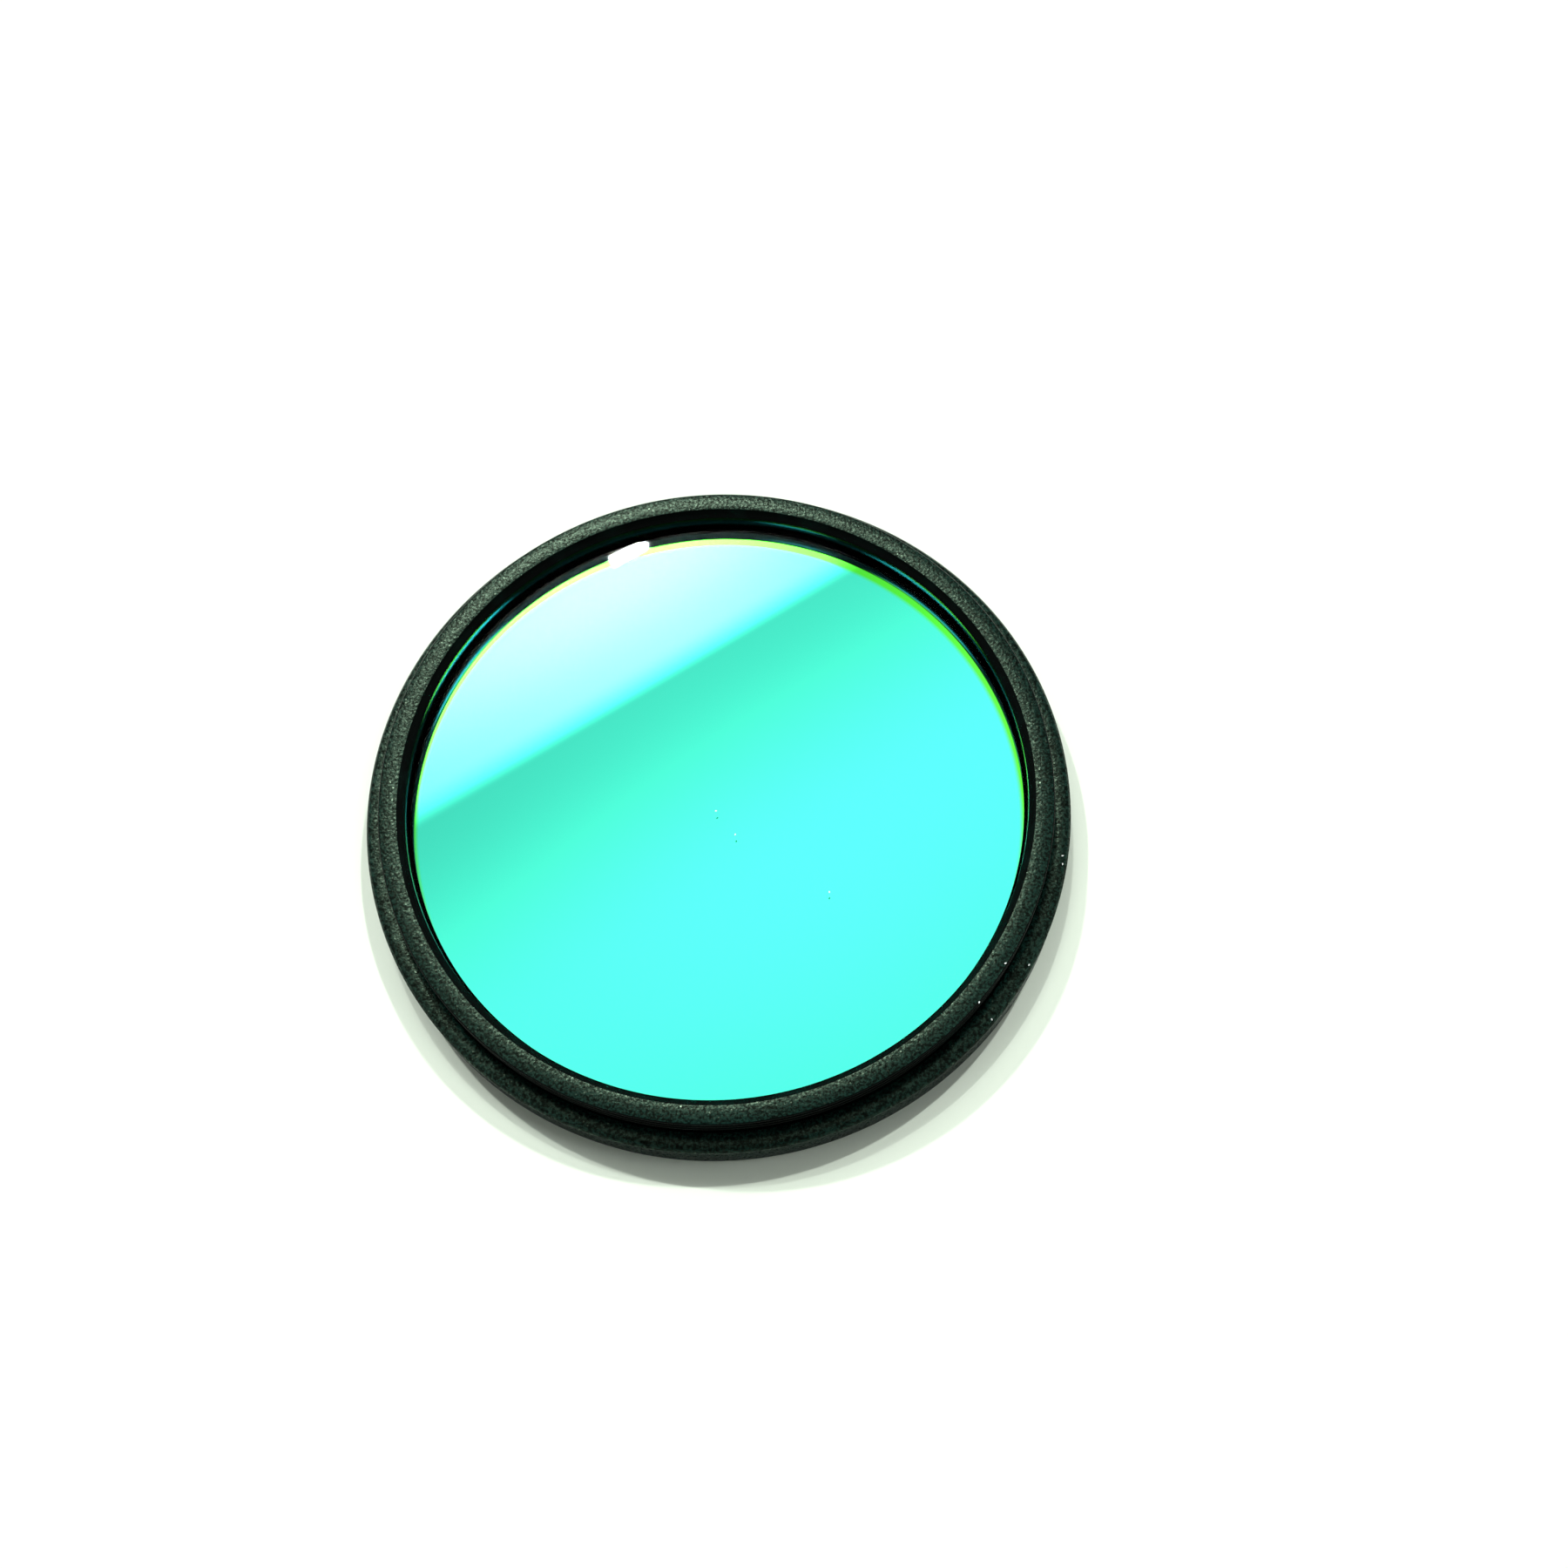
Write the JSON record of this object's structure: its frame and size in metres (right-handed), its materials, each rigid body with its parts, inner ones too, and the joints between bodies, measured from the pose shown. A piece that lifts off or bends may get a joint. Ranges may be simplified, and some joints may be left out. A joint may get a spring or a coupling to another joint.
{
  "type": "bandpass filter",
  "caption": "Round bandpass filter: a coated glass disc held by a retaining ring in a slim turned cell, with a male thread above and a female thread below.",
  "frame": {"origin": "centre of the flange's seating face, which the part lies on", "axes": "+Z along the optical axis towards the end of the male thread; +X and +Y across it, with +Y away from the picture's camera"},
  "size_m": [0.0508, 0.0508, 0.0055],
  "materials": {
    "cell_anodised": "bead-blasted and black anodised, with bright-turned lip and chamfer",
    "coated_glass": "polished, with a teal interference coating on the lower face",
    "ring_anodised": "turned and black anodised"
  },
  "bodies": {
    "root": {"filter_cell": "cell_anodised", "filter_glass": "coated_glass", "retaining_ring": "ring_anodised"}
  },
  "joints": []
}
